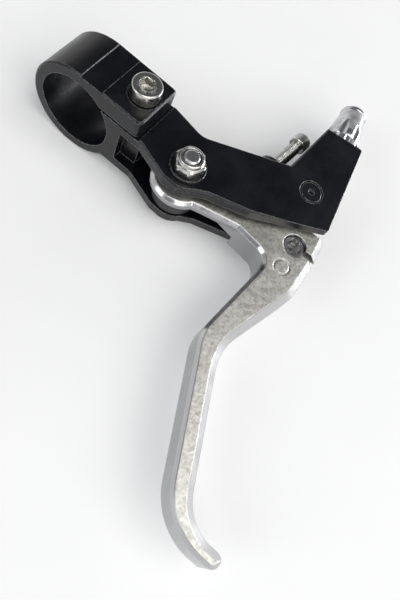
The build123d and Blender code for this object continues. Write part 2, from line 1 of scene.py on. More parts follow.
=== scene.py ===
import json
import math
import bmesh
import bpy
from mathutils import Matrix, Vector


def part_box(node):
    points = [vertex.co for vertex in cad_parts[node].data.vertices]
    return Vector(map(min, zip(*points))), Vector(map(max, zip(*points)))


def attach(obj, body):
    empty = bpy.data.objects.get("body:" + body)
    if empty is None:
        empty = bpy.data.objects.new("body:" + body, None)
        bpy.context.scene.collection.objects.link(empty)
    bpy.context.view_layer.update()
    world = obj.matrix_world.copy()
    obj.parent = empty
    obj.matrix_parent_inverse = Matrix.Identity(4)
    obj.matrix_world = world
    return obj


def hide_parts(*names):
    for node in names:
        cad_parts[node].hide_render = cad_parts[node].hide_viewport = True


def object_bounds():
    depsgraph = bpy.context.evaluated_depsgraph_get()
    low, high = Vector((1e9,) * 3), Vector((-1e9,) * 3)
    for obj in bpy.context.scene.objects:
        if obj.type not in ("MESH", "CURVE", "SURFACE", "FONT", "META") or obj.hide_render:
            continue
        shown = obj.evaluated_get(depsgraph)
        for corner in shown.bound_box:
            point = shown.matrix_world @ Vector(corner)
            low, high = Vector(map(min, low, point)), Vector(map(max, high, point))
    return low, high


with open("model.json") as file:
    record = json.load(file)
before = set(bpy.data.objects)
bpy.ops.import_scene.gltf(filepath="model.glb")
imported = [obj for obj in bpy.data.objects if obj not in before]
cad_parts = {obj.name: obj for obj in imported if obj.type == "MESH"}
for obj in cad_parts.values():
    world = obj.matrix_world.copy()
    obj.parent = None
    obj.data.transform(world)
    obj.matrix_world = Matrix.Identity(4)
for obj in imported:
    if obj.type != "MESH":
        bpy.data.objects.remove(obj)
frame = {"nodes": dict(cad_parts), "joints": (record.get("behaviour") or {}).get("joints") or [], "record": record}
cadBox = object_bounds()
mm = 0.001
joints = {j["name"]: j for j in frame["joints"]}
print("frame loaded,", len(frame["nodes"]), "nodes")

# camera: where it stands, what it looks at, and which way is up in the picture
shot = {
    "place": (0.0986, 0.0580, 0.1398),
    "lookAt": (0.0284, 0.0594, 0.0000),
    "pictureUp": (-0.730, -0.633, 0.258),
    "lens": 36.2,
}

studio = {
    "horizon": (1.0, 1.0, 1.0),
    "zenith": (0.10, 0.105, 0.12),
    "skyStrength": 0.93,
    # name, place, looks at, width, height, watts, colour
    "lamps": [
        ("bigSoftbox", (0.35, 0.75, 1.35), (0.01, 0.04, 0.0), 1.9, 1.9, 24.0, (1.0, 0.99, 0.97)),
        ("sideSoftbox", (0.95, -0.55, 0.75), (0.01, 0.04, 0.0), 0.6, 0.6, 3.0, (0.94, 0.97, 1.0)),
        ("lowStrip", (-0.95, 0.93, 0.11), (0.01, 0.04, 0.0), 0.8, 0.16, 11.0, (0.95, 0.97, 1.0)),
    ],
    "floorColour": (0.97, 0.97, 0.97),
    "floorSize": 4.0,
}

blackPaint = {
    "deep": (0.0030, 0.0032, 0.0045),
    "thin": (0.0055, 0.0060, 0.0080),
    # pale edge colour: partly rubbed paint, partly a painted highlight along the edges
    "rubbedAndHighlit": (0.50, 0.50, 0.51),
    "gloss": (0.24, 0.33),  # roughness from smooth to dull patches
    "peelScale": 1300.0,
    "peelHeight": 0.00002,
    "edgeRadius": 0.00040,
}
castAlloy = {
    "polished": (0.56, 0.56, 0.565),
    # darker colour for the side walls: painted shade on the same polished alloy as the bevels
    "wall": (0.36, 0.36, 0.37),
    "satin": (0.74, 0.74, 0.74),
    "skinLight": (0.80, 0.79, 0.74),
    "skinDark": (0.50, 0.49, 0.44),
    "skinScale": 560.0,
    "skinHeight": 0.00012,
    "polishedRoughness": 0.17,
    "skinRoughness": 0.40,
    "satinRoughness": 0.27,
    "bladeAngle": 25.5,
    "edgeRadius": 0.00055,
}
# colours as clean metal and as its duller patches
platedSteel = {
    "zinc": (0.68, 0.665, 0.61),
    "zincShade": (0.40, 0.405, 0.40),
    "turned": (0.60, 0.60, 0.59),
    "turnedShade": (0.33, 0.33, 0.33),
    "barrel": (0.66, 0.66, 0.67),
    "barrelShade": (0.42, 0.42, 0.43),
}


# small helpers for node trees
def put(tree, kind, x=0, y=0, **values):
    node = tree.nodes.new(kind)
    node.location = (x, y)
    for name, value in values.items():
        setattr(node, name, value)
    return node


def wire(tree, source, target):
    tree.links.new(source, target)


def shaderGroup(name, inputs, outputs):
    tree = bpy.data.node_groups.new(name, "ShaderNodeTree")
    for label, kind, value in inputs:
        socket = tree.interface.new_socket(name=label, in_out="INPUT", socket_type=kind)
        socket.default_value = value
    for label, kind in outputs:
        tree.interface.new_socket(name=label, in_out="OUTPUT", socket_type=kind)
    return tree, put(tree, "NodeGroupInput", -1100, 0), put(tree, "NodeGroupOutput", 800, 0)


def useGroup(tree, group, x, y, **values):
    node = put(tree, "ShaderNodeGroup", x, y, node_tree=group)
    for label, value in values.items():
        node.inputs[label].default_value = value
    return node


def maths(tree, operation, x, y, first=None, second=None, clamp=False):
    node = put(tree, "ShaderNodeMath", x, y, operation=operation, use_clamp=clamp)
    for index, value in enumerate((first, second)):
        if value is None:
            continue
        if isinstance(value, (int, float)):
            node.inputs[index].default_value = value
        else:
            wire(tree, value, node.inputs[index])
    return node.outputs[0]


def ramp(tree, x, y, value, low, high):
    node = put(tree, "ShaderNodeMapRange", x, y, interpolation_type="SMOOTHSTEP")
    node.inputs["From Min"].default_value = low
    node.inputs["From Max"].default_value = high
    wire(tree, value, node.inputs["Value"])
    return node.outputs["Result"]


def mixColours(tree, x, y, factor, first, second):
    node = put(tree, "ShaderNodeMix", x, y, data_type="RGBA")
    wire(tree, factor, node.inputs[0])
    for socket, value in ((node.inputs[6], first), (node.inputs[7], second)):
        if isinstance(value, tuple):
            socket.default_value = (*value, 1.0)
        else:
            wire(tree, value, socket)
    return node.outputs[2]


def mixValues(tree, x, y, factor, first, second):
    node = put(tree, "ShaderNodeMix", x, y, data_type="FLOAT")
    wire(tree, factor, node.inputs[0])
    for socket, value in ((node.inputs[2], first), (node.inputs[3], second)):
        if isinstance(value, (int, float)):
            socket.default_value = value
        else:
            wire(tree, value, socket)
    return node.outputs[0]


def noiseAt(tree, x, y, vector, scale, detail=3.0, rough=0.55):
    node = put(tree, "ShaderNodeTexNoise", x, y)
    node.inputs["Scale"].default_value = scale
    node.inputs["Detail"].default_value = detail
    node.inputs["Roughness"].default_value = rough
    wire(tree, vector, node.inputs["Vector"])
    return node


# effects shared by several finishes
def makeRoundedEdges():
    # softens edges in the shading and says where they are, for wear and for painted edge highlights
    tree, start, end = shaderGroup(
        "roundedEdges",
        [("Radius", "NodeSocketFloat", 0.0004), ("Breakup", "NodeSocketFloat", 900.0)],
        [("Normal", "NodeSocketVector"), ("Edge", "NodeSocketFloat")],
    )
    bevel = put(tree, "ShaderNodeBevel", -800, 200, samples=6)
    wire(tree, start.outputs["Radius"], bevel.inputs["Radius"])
    flat = put(tree, "ShaderNodeNewGeometry", -800, -100)
    dot = put(tree, "ShaderNodeVectorMath", -600, 100, operation="DOT_PRODUCT")
    wire(tree, bevel.outputs["Normal"], dot.inputs[0])
    wire(tree, flat.outputs["Normal"], dot.inputs[1])
    bend = maths(tree, "SUBTRACT", -420, 100, 1.0, dot.outputs["Value"], clamp=True)
    coords = put(tree, "ShaderNodeTexCoord", -800, -400)
    grain = put(tree, "ShaderNodeTexNoise", -600, -300)
    grain.inputs["Detail"].default_value = 4.0
    wire(tree, coords.outputs["Object"], grain.inputs["Vector"])
    wire(tree, start.outputs["Breakup"], grain.inputs["Scale"])
    sharp = ramp(tree, -240, 100, bend, 0.02, 0.16)
    patchy = ramp(tree, -240, -250, grain.outputs["Fac"], 0.34, 0.58)
    edge = maths(tree, "MULTIPLY", 0, 0, sharp, patchy, clamp=True)
    wire(tree, bevel.outputs["Normal"], end.inputs["Normal"])
    wire(tree, edge, end.inputs["Edge"])
    return tree


def makeCastSkin():
    # the grainy skin that a mould leaves on alloy
    tree, start, end = shaderGroup(
        "castSkin",
        [("Scale", "NodeSocketFloat", 620.0)],
        [("Tone", "NodeSocketFloat"), ("Height", "NodeSocketFloat")],
    )
    coords = put(tree, "ShaderNodeTexCoord", -1100, -300)
    big = put(tree, "ShaderNodeTexNoise", -800, 200)
    big.inputs["Detail"].default_value = 5.0
    big.inputs["Roughness"].default_value = 0.65
    cells = put(tree, "ShaderNodeTexVoronoi", -800, -150, feature="SMOOTH_F1")
    cells.inputs["Smoothness"].default_value = 0.35
    fine = put(tree, "ShaderNodeTexNoise", -800, -500)
    fine.inputs["Detail"].default_value = 3.0
    for node, factor in ((big, 1.0), (cells, 2.1), (fine, 6.0)):
        wire(tree, coords.outputs["Object"], node.inputs["Vector"])
        wire(tree, maths(tree, "MULTIPLY", -980, 0, start.outputs["Scale"], factor), node.inputs["Scale"])
    tone = maths(tree, "MULTIPLY", -500, 100, cells.outputs["Distance"], 0.30)
    tone = maths(tree, "ADD", -410, 100, tone, big.outputs["Fac"])
    tone = maths(tree, "ADD", -320, 100, tone, maths(tree, "MULTIPLY", -500, -300, fine.outputs["Fac"], 0.22))
    grit = maths(tree, "MULTIPLY", -320, -400, fine.outputs["Fac"], 0.4)
    height = maths(tree, "ADD", -100, -200, big.outputs["Fac"], grit)
    wire(tree, ramp(tree, 0, 200, tone, 0.50, 1.00), end.inputs["Tone"])
    wire(tree, height, end.inputs["Height"])
    return tree


def makeLongScratches():
    # fine lines that run one way, as hands and polishing leave them
    tree, start, end = shaderGroup(
        "longScratches",
        [
            ("Angle", "NodeSocketFloat", 0.0),
            ("Scale", "NodeSocketFloat", 2400.0),
            ("Stretch", "NodeSocketFloat", 0.02),
        ],
        [("Lines", "NodeSocketFloat"), ("Height", "NodeSocketFloat")],
    )
    coords = put(tree, "ShaderNodeTexCoord", -1100, -300)
    turn = put(tree, "ShaderNodeVectorRotate", -900, 0, rotation_type="Z_AXIS")
    wire(tree, coords.outputs["Object"], turn.inputs["Vector"])
    radians = maths(tree, "MULTIPLY", -1000, 200, start.outputs["Angle"], -math.pi / 180)
    wire(tree, radians, turn.inputs["Angle"])
    squeeze = put(tree, "ShaderNodeCombineXYZ", -900, -250)
    squeeze.inputs["Y"].default_value = 1.0
    squeeze.inputs["Z"].default_value = 1.0
    wire(tree, start.outputs["Stretch"], squeeze.inputs["X"])
    along = put(tree, "ShaderNodeVectorMath", -700, 0, operation="MULTIPLY")
    wire(tree, turn.outputs["Vector"], along.inputs[0])
    wire(tree, squeeze.outputs["Vector"], along.inputs[1])
    lines = put(tree, "ShaderNodeTexNoise", -500, 100)
    lines.inputs["Detail"].default_value = 2.0
    wire(tree, along.outputs["Vector"], lines.inputs["Vector"])
    wire(tree, start.outputs["Scale"], lines.inputs["Scale"])
    wire(tree, ramp(tree, -250, 100, lines.outputs["Fac"], 0.56, 0.70), end.inputs["Lines"])
    wire(tree, lines.outputs["Fac"], end.inputs["Height"])
    return tree


def makeSmudges():
    # slow changes in gloss, and a few specks of dust
    tree, start, end = shaderGroup(
        "smudges",
        [("Scale", "NodeSocketFloat", 120.0)],
        [("Cloud", "NodeSocketFloat"), ("Dust", "NodeSocketFloat")],
    )
    coords = put(tree, "ShaderNodeTexCoord", -1100, -300)
    cloud = put(tree, "ShaderNodeTexNoise", -800, 200)
    cloud.inputs["Detail"].default_value = 6.0
    cloud.inputs["Roughness"].default_value = 0.6
    specks = put(tree, "ShaderNodeTexVoronoi", -800, -200)
    wire(tree, coords.outputs["Object"], cloud.inputs["Vector"])
    wire(tree, coords.outputs["Object"], specks.inputs["Vector"])
    wire(tree, start.outputs["Scale"], cloud.inputs["Scale"])
    wire(tree, maths(tree, "MULTIPLY", -980, -200, start.outputs["Scale"], 7.0), specks.inputs["Scale"])
    near = ramp(tree, -500, -200, specks.outputs["Distance"], 0.09, 0.03)
    rare = ramp(tree, -500, -420, cloud.outputs["Fac"], 0.52, 0.60)
    wire(tree, ramp(tree, -300, 200, cloud.outputs["Fac"], 0.35, 0.68), end.inputs["Cloud"])
    wire(tree, maths(tree, "MULTIPLY", 0, -200, near, rare), end.inputs["Dust"])
    return tree


roundedEdges = makeRoundedEdges()
castSkin = makeCastSkin()
longScratches = makeLongScratches()
smudges = makeSmudges()


def newFinish(name):
    material = bpy.data.materials.new(name)
    material.use_nodes = True
    tree = material.node_tree
    shader = tree.nodes["Principled BSDF"]
    shader.location = (700, 0)
    tree.nodes["Material Output"].location = (1000, 0)
    return material, tree, shader


def bumpOn(tree, x, y, height, distance, strength, normal=None):
    node = put(tree, "ShaderNodeBump", x, y)
    node.inputs["Distance"].default_value = distance
    node.inputs["Strength"].default_value = strength
    wire(tree, height, node.inputs["Height"])
    if normal is not None:
        wire(tree, normal, node.inputs["Normal"])
    return node.outputs["Normal"]


def makeBlackPaint(p):
    material, tree, shader = newFinish("satinBlackPaint")
    edges = useGroup(tree, roundedEdges, -900, 300, Radius=p["edgeRadius"], Breakup=1500.0)
    dirt = useGroup(tree, smudges, -900, -100, Scale=95.0)
    coords = put(tree, "ShaderNodeTexCoord", -1200, -400)
    peel = noiseAt(tree, -900, -400, coords.outputs["Object"], p["peelScale"], 2.0)
    colour = mixColours(tree, -500, 200, dirt.outputs["Cloud"], p["deep"], p["thin"])
    # edges lightened towards the pale colour: partly wear, partly painted highlight lines
    paintWearAndHighlight = maths(tree, "MULTIPLY", -500, 400, edges.outputs["Edge"], 0.55)
    colour = mixColours(tree, -250, 200, paintWearAndHighlight, colour, p["rubbedAndHighlit"])
    dust = maths(tree, "MULTIPLY", -250, -50, dirt.outputs["Dust"], 0.25)
    colour = mixColours(tree, 0, 200, dust, colour, (0.22, 0.22, 0.21))
    wire(tree, colour, shader.inputs["Base Color"])
    wire(tree, mixValues(tree, 0, -100, dirt.outputs["Cloud"], *p["gloss"]), shader.inputs["Roughness"])
    normal = bumpOn(tree, 200, -350, peel.outputs["Fac"], p["peelHeight"], 0.8, edges.outputs["Normal"])
    wire(tree, normal, shader.inputs["Normal"])
    shader.inputs["Specular IOR Level"].default_value = 0.40
    return material


def makeCastAlloy(p):
    material, tree, shader = newFinish("castAndPolishedAlloy")
    edges = useGroup(tree, roundedEdges, -900, 500, Radius=p["edgeRadius"], Breakup=700.0)
    skin = useGroup(tree, castSkin, -900, 200, Scale=p["skinScale"])
    lines = useGroup(tree, longScratches, -900, -50, Angle=p["bladeAngle"], Scale=2600.0, Stretch=0.025)
    dirt = useGroup(tree, smudges, -900, -300, Scale=150.0)
    coords = put(tree, "ShaderNodeTexCoord", -1300, -600)
    facing = put(tree, "ShaderNodeSeparateXYZ", -1100, -600)
    wire(tree, coords.outputs["Normal"], facing.inputs[0])
    under = ramp(tree, -850, -600, facing.outputs["Z"], 0.80, 0.97)
    top = ramp(tree, -850, -800, facing.outputs["Z"], -0.80, -0.97)
    skinColour = mixColours(tree, -500, 300, skin.outputs["Tone"], p["skinDark"], p["skinLight"])
    # faces whose normal lies near level turn darker: painted shade on one finish
    wallShadeMask = ramp(tree, -850, -1000, maths(tree, "ABSOLUTE", -1000, -1000, facing.outputs["Z"]), 0.34, 0.10)
    colour = mixColours(tree, -600, 600, wallShadeMask, p["polished"], p["wall"])
    colour = mixColours(tree, -400, 600, top, colour, p["satin"])
    colour = mixColours(tree, -200, 300, under, colour, skinColour)
    lineShade = maths(tree, "MULTIPLY", -300, 0, lines.outputs["Lines"], 0.30)
    colour = mixColours(tree, 0, 300, lineShade, colour, (0.45, 0.45, 0.44))
    wire(tree, colour, shader.inputs["Base Color"])
    shine = mixValues(tree, -200, -200, under, p["polishedRoughness"], p["skinRoughness"])
    shine = mixValues(tree, 0, -200, top, shine, p["satinRoughness"])
    shine = maths(tree, "ADD", 150, -200, shine, maths(tree, "MULTIPLY", 0, -350, dirt.outputs["Cloud"], 0.09))
    wire(tree, shine, shader.inputs["Roughness"])
    rough = maths(tree, "MULTIPLY", 0, -500, skin.outputs["Height"], under)
    normal = bumpOn(tree, 200, -500, rough, p["skinHeight"], 0.9, edges.outputs["Normal"])
    normal = bumpOn(tree, 400, -500, lines.outputs["Height"], 0.000012, 0.6, normal)
    wire(tree, normal, shader.inputs["Normal"])
    shader.inputs["Metallic"].default_value = 1.0
    return material


def makePlated(name, light, shade, roughness, scratchAngle, edgeRadius, turning):
    material, tree, shader = newFinish(name)
    edges = useGroup(tree, roundedEdges, -900, 400, Radius=edgeRadius, Breakup=1400.0)
    dirt = useGroup(tree, smudges, -900, 100, Scale=420.0)
    lines = useGroup(tree, longScratches, -900, -200, Angle=scratchAngle, Scale=5200.0, Stretch=turning)
    colour = mixColours(tree, -300, 200, dirt.outputs["Cloud"], light, shade)
    # edges lightened to near white: a painted highlight, partly worn plating
    platingWearAndHighlight = maths(tree, "MULTIPLY", -200, 400, edges.outputs["Edge"], 0.5)
    colour = mixColours(tree, 0, 200, platingWearAndHighlight, colour, (0.93, 0.93, 0.92))
    wire(tree, colour, shader.inputs["Base Color"])
    spread = maths(tree, "MULTIPLY", -200, -100, dirt.outputs["Cloud"], 0.14)
    wire(tree, maths(tree, "ADD", 0, -100, spread, roughness), shader.inputs["Roughness"])
    normal = bumpOn(tree, 200, -300, lines.outputs["Height"], 0.000010, 0.7, edges.outputs["Normal"])
    wire(tree, normal, shader.inputs["Normal"])
    shader.inputs["Metallic"].default_value = 1.0
    return material


def makeBushPlastic():
    material, tree, shader = newFinish("blackNylon")
    dirt = useGroup(tree, smudges, -900, 100, Scale=300.0)
    edges = useGroup(tree, roundedEdges, -900, 400, Radius=0.0002, Breakup=1400.0)
    colour = mixColours(tree, -300, 200, dirt.outputs["Cloud"], (0.018, 0.018, 0.019), (0.04, 0.04, 0.041))
    wire(tree, colour, shader.inputs["Base Color"])
    wire(tree, mixValues(tree, -300, -100, dirt.outputs["Cloud"], 0.45, 0.62), shader.inputs["Roughness"])
    normal = bumpOn(tree, 200, -300, dirt.outputs["Cloud"], 0.00002, 0.5, edges.outputs["Normal"])
    wire(tree, normal, shader.inputs["Normal"])
    return material


# slot: name, clean colour, dull colour, roughness, scratch angle, edge radius, stretch of the scratches
platedFinishes = {
    "zinc_screw": ("zincPlate", "zinc", "zincShade", 0.16, 0.0, 0.00025, 0.5),
    "pivot_steel": ("turnedSteel", "turned", "turnedShade", 0.26, 0.0, 0.00025, 0.5),
    "barrel_silver": ("turnedAlloy", "barrel", "barrelShade", 0.20, 100.0, 0.00030, 0.05),
    "spring_steel": ("rolledSteel", "turned", "turnedShade", 0.30, 0.0, 0.00015, 0.1),
}
finishes = {
    "black_bracket": makeBlackPaint(blackPaint),
    "silver_lever": makeCastAlloy(castAlloy),
    "black_bush": makeBushPlastic(),
}
for slot, (name, clean, dull, *settings) in platedFinishes.items():
    finishes[slot] = makePlated(name, platedSteel[clean], platedSteel[dull], *settings)
slotOf = {part["node"]: part["material_slot"] for part in frame["record"]["subparts"]}
for name, node in frame["nodes"].items():
    node.data.materials.clear()
    node.data.materials.append(finishes[slotOf[name]])
print("finishes made,", len(finishes), "on", len(slotOf), "nodes")


# turned and threaded pieces
def axisFrame(place, direction, spin=0.0):
    # a frame with its Z along a direction, turned by spin degrees about it
    turn = Vector(direction).to_track_quat("Z", "Y").to_matrix().to_4x4()
    return Matrix.Translation(Vector(place)) @ turn @ Matrix.Rotation(math.radians(spin), 4, "Z")


def roundRing(radius, height, count):
    turns = [2 * math.pi * i / count for i in range(count)]
    return [(radius * math.cos(a), radius * math.sin(a), height) for a in turns]


def sixSidedRing(acrossFlats, height, count, cornerRadius=9.0):
    # a hexagon as a ring of count points; cornerRadius cuts its corners to a circle
    ring = []
    for i in range(count):
        angle = 2 * math.pi * i / count
        inSide = (angle + math.pi / 6) % (math.pi / 3) - math.pi / 6
        radius = min(acrossFlats / 2 / math.cos(inSide), cornerRadius)
        ring.append((radius * math.cos(angle), radius * math.sin(angle), height))
    return ring


def loft(name, rings):
    # skins rings of equal count, and closes both ends with a fan
    count = len(rings[0])
    points = [p for ring in rings for p in ring]
    faces = []
    for level in range(len(rings) - 1):
        low, high = level * count, (level + 1) * count
        for i in range(count):
            j = (i + 1) % count
            faces.append((low + i, low + j, high + j, high + i))
    for ring, level, flip in ((rings[0], 0, True), (rings[-1], (len(rings) - 1) * count, False)):
        middle = len(points)
        points.append(tuple(sum(p[k] for p in ring) / count for k in range(3)))
        for i in range(count):
            j = (i + 1) % count
            faces.append((level + j, level + i, middle) if flip else (level + i, level + j, middle))
    mesh = bpy.data.meshes.new(name)
    mesh.from_pydata([tuple(c * mm for c in p) for p in points], [], faces)
    sculpt = bmesh.new()
    sculpt.from_mesh(mesh)
    bmesh.ops.recalc_face_normals(sculpt, faces=sculpt.faces)
    sculpt.to_mesh(mesh)
    sculpt.free()
    return mesh


def geometryTree(name, inputs):
    tree = bpy.data.node_groups.new(name, "GeometryNodeTree")
    tree.interface.new_socket(name="Geometry", in_out="OUTPUT", socket_type="NodeSocketGeometry")
    identifiers = {}
    for label, kind, value in inputs:
        socket = tree.interface.new_socket(name=label, in_out="INPUT", socket_type=kind)
        if value is not None:
            socket.default_value = value
        identifiers[label] = socket.identifier
    return tree, put(tree, "NodeGroupInput", -1200, 0), put(tree, "NodeGroupOutput", 900, 0), identifiers


def makeThreadTree():
    # a ridge that winds up a cylinder
    tree, start, end, identifiers = geometryTree("screwThread", [
        ("Radius", "NodeSocketFloat", 0.002),
        ("Depth", "NodeSocketFloat", 0.0003),
        ("Length", "NodeSocketFloat", 0.02),
        ("Pitch", "NodeSocketFloat", 0.0007),
        ("Steps", "NodeSocketInt", 28),
        ("Finish", "NodeSocketMaterial", None),
    ])
    turns = maths(tree, "DIVIDE", -950, 200, start.outputs["Length"], start.outputs["Pitch"])
    root = maths(tree, "SUBTRACT", -950, 0, start.outputs["Radius"], start.outputs["Depth"])
    helix = put(tree, "GeometryNodeCurveSpiral", -700, 200)
    wire(tree, start.outputs["Steps"], helix.inputs["Resolution"])
    wire(tree, turns, helix.inputs["Rotations"])
    wire(tree, root, helix.inputs["Start Radius"])
    wire(tree, root, helix.inputs["End Radius"])
    wire(tree, start.outputs["Length"], helix.inputs["Height"])
    upright = put(tree, "GeometryNodeSetCurveNormal", -480, 200, mode="Z_UP")
    wire(tree, helix.outputs["Curve"], upright.inputs["Curve"])
    ridge = put(tree, "GeometryNodeCurvePrimitiveCircle", -700, -100)
    ridge.inputs["Resolution"].default_value = 4
    wire(tree, start.outputs["Depth"], ridge.inputs["Radius"])
    swept = put(tree, "GeometryNodeCurveToMesh", -260, 100)
    swept.inputs["Fill Caps"].default_value = True
    wire(tree, upright.outputs["Curve"], swept.inputs["Curve"])
    wire(tree, ridge.outputs["Curve"], swept.inputs["Profile Curve"])
    whole = put(tree, "GeometryNodeRealizeInstances", 300, 100)
    painted = put(tree, "GeometryNodeSetMaterial", 550, 100)
    wire(tree, swept.outputs["Mesh"], whole.inputs["Geometry"])
    wire(tree, whole.outputs["Geometry"], painted.inputs["Geometry"])
    wire(tree, start.outputs["Finish"], painted.inputs["Material"])
    wire(tree, painted.outputs["Geometry"], end.inputs["Geometry"])
    return tree, identifiers


threadTree, threadInputs = makeThreadTree()


def grow(tree, identifiers, **values):
    # runs a tree once and hands back its plain mesh
    holder = bpy.data.objects.new("grow", bpy.data.meshes.new("grow"))
    bpy.context.scene.collection.objects.link(holder)
    modifier = holder.modifiers.new("grow", "NODES")
    modifier.node_group = tree
    for label, value in values.items():
        modifier[identifiers[label]] = value
    bpy.context.view_layer.update()
    mesh = bpy.data.meshes.new_from_object(holder.evaluated_get(bpy.context.evaluated_depsgraph_get()))
    holder.modifiers.clear()
    bpy.data.objects.remove(holder)
    return mesh


def joinMeshes(name, parts, finish, smoothAngle=35.0):
    # parts are (mesh, place) pairs; the result is one object at the origin
    whole = bmesh.new()
    for mesh, place in parts:
        copy = mesh.copy()
        copy.transform(place)
        whole.from_mesh(copy)
        bpy.data.meshes.remove(copy)
    mesh = bpy.data.meshes.new(name)
    whole.to_mesh(mesh)
    whole.free()
    mesh.materials.clear()
    mesh.materials.append(finish)
    mesh.polygons.foreach_set("material_index", [0] * len(mesh.polygons))
    mesh.polygons.foreach_set("use_smooth", [True] * len(mesh.polygons))
    mesh.set_sharp_from_angle(angle=math.radians(smoothAngle))
    piece = bpy.data.objects.new(name, mesh)
    bpy.context.scene.collection.objects.link(piece)
    return piece


def standFor(piece, body, slot, *nodes):
    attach(piece, body)
    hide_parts(*nodes)


def roundedEdge(radius, height, edge, count, steps=4):
    # rings that round the corner between a side at radius and a face at height
    rings = []
    for i in range(steps + 1):
        a = math.pi / 2 * i / steps
        rings.append(roundRing(radius - edge + edge * math.cos(a), height - edge + edge * math.sin(a), count))
    return rings


def socketRings(faceRadius, face, key, depth, count):
    # the face in from faceRadius, a chamfered six sided socket and its drilled bottom
    return [
        roundRing(faceRadius, face, count),
        roundRing(key / 2 * 1.17, face, count),
        sixSidedRing(key, face - 0.18, count),
        sixSidedRing(key, face - depth, count),
        roundRing(key / 2 * 0.80, face - depth - 0.05, count),
        roundRing(key / 2 * 0.12, face - depth - 0.6, count),
    ]


clampScrew = {
    "headRadius": 4.17, "headHeight": 5.0, "headEdge": 0.55, "key": 4.0, "socketDepth": 2.5,
    "shankRadius": 2.15, "grip": 14.0, "pitch": 0.8, "threadRadius": 2.5, "threadDepth": 0.32,
    "spin": 12.0,
}


def makeClampScrew(p):
    joint = joints["clamp_screw_turn"]
    place = axisFrame(joint["pos_m"], joint["axis"], p["spin"])
    count = 96
    rings = [
        roundRing(p["shankRadius"] - 0.5, -p["grip"], count),
        roundRing(p["shankRadius"], -p["grip"] + 0.5, count),
        roundRing(p["shankRadius"], 0.02, count),
        roundRing(p["headRadius"] - 0.2, 0.0, count),
        roundRing(p["headRadius"], 0.2, count),
    ]
    rings += roundedEdge(p["headRadius"], p["headHeight"], p["headEdge"], count)
    faceRadius = p["headRadius"] - p["headEdge"] - 0.05
    rings += socketRings(faceRadius, p["headHeight"], p["key"], p["socketDepth"], count)
    thread = grow(threadTree, threadInputs, Radius=p["threadRadius"] * mm, Depth=p["threadDepth"] * mm,
                  Length=(p["grip"] - 1.4) * mm, Pitch=p["pitch"] * mm, Steps=28, Finish=finishes["zinc_screw"])
    low = place @ Matrix.Translation((0, 0, -(p["grip"] - 0.4) * mm))
    parts = [(loft("clampScrewBody", rings), place), (thread, low)]
    piece = joinMeshes("clampScrewDetailed", parts, finishes["zinc_screw"])
    standFor(piece, "clamp_screw", "zinc_screw", "clamp_screw")


reachScrew = {
    "length": 24.0, "headRadius": 2.8, "headHeight": 3.6, "headEdge": 0.45, "key": 2.5, "socketDepth": 2.0,
    "shankRadius": 1.62, "threadRadius": 1.95, "threadDepth": 0.30, "pitch": 0.7, "spin": 20.0,
}


def makeReachScrew(p):
    joint = joints["reach_screw_turn"]
    place = axisFrame(joint["pos_m"], joint["axis"], p["spin"])
    count = 72
    start, end = p["length"], p["length"] + p["headHeight"]
    rings = [
        roundRing(p["shankRadius"] - 0.4, 0.0, count),
        roundRing(p["shankRadius"], 0.4, count),
        roundRing(p["shankRadius"], start - 0.02, count),
        roundRing(p["headRadius"] - 0.25, start, count),
        roundRing(p["headRadius"], start + 0.25, count),
    ]
    rings += roundedEdge(p["headRadius"], end, p["headEdge"], count)
    rings += socketRings(p["headRadius"] - p["headEdge"] - 0.05, end, p["key"], p["socketDepth"], count)
    thread = grow(threadTree, threadInputs, Radius=p["threadRadius"] * mm, Depth=p["threadDepth"] * mm,
                  Length=(p["length"] - 1.6) * mm, Pitch=p["pitch"] * mm, Steps=26,
                  Finish=finishes["zinc_screw"])
    low = place @ Matrix.Translation((0, 0, 0.5 * mm))
    parts = [(loft("reachScrewBody", rings), place), (thread, low)]
    piece = joinMeshes("reachScrewDetailed", parts, finishes["zinc_screw"])
    standFor(piece, "reach_screw", "zinc_screw", "reach_screw")


lockNut = {
    "acrossFlats": 8.0, "hexHeight": 2.7, "cornerRadius": 4.45,
    "collarRadius": 3.45, "height": 4.0, "collarEdge": 0.5,
    "holeRadius": 2.56, "holeDepth": 1.2, "spin": 8.0,
}


def makeLockNut(p):
    low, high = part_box("pivot_nut")
    place = axisFrame(((low.x + high.x) / 2, (low.y + high.y) / 2, low.z), (0, 0, 1), p["spin"])
    count = 96
    flats, corner = p["acrossFlats"], p["cornerRadius"]
    rings = [
        roundRing(flats / 2 - 0.1, 0.0, count),
        sixSidedRing(flats, 0.35, count, corner),
        sixSidedRing(flats, p["hexHeight"] - 0.35, count, corner),
        sixSidedRing(flats - 0.5, p["hexHeight"] + 0.02, count, flats / 2 + 0.05),
        roundRing(p["collarRadius"] + 0.12, p["hexHeight"] + 0.12, count),
        roundRing(p["collarRadius"], p["hexHeight"] + 0.3, count),
    ]
    rings += roundedEdge(p["collarRadius"], p["height"], p["collarEdge"], count)
    rings += [
        roundRing(p["holeRadius"] + 0.15, p["height"] - 0.02, count),
        roundRing(p["holeRadius"], p["height"] - 0.2, count),
        roundRing(p["holeRadius"], p["height"] - p["holeDepth"], count),
    ]
    piece = joinMeshes("lockNut", [(loft("lockNutBody", rings), place)], finishes["zinc_screw"])
    standFor(piece, "bracket", "zinc_screw", "pivot_nut")


pivotBolt = {
    "headRadius": 4.1, "headHeight": 2.4, "headEdge": 0.8, "key": 4.0, "socketDepth": 1.8,
    "shankRadius": 2.5, "threadRadius": 2.5, "threadDepth": 0.3, "pitch": 0.8, "threadLength": 6.0, "spin": 5.0,
}


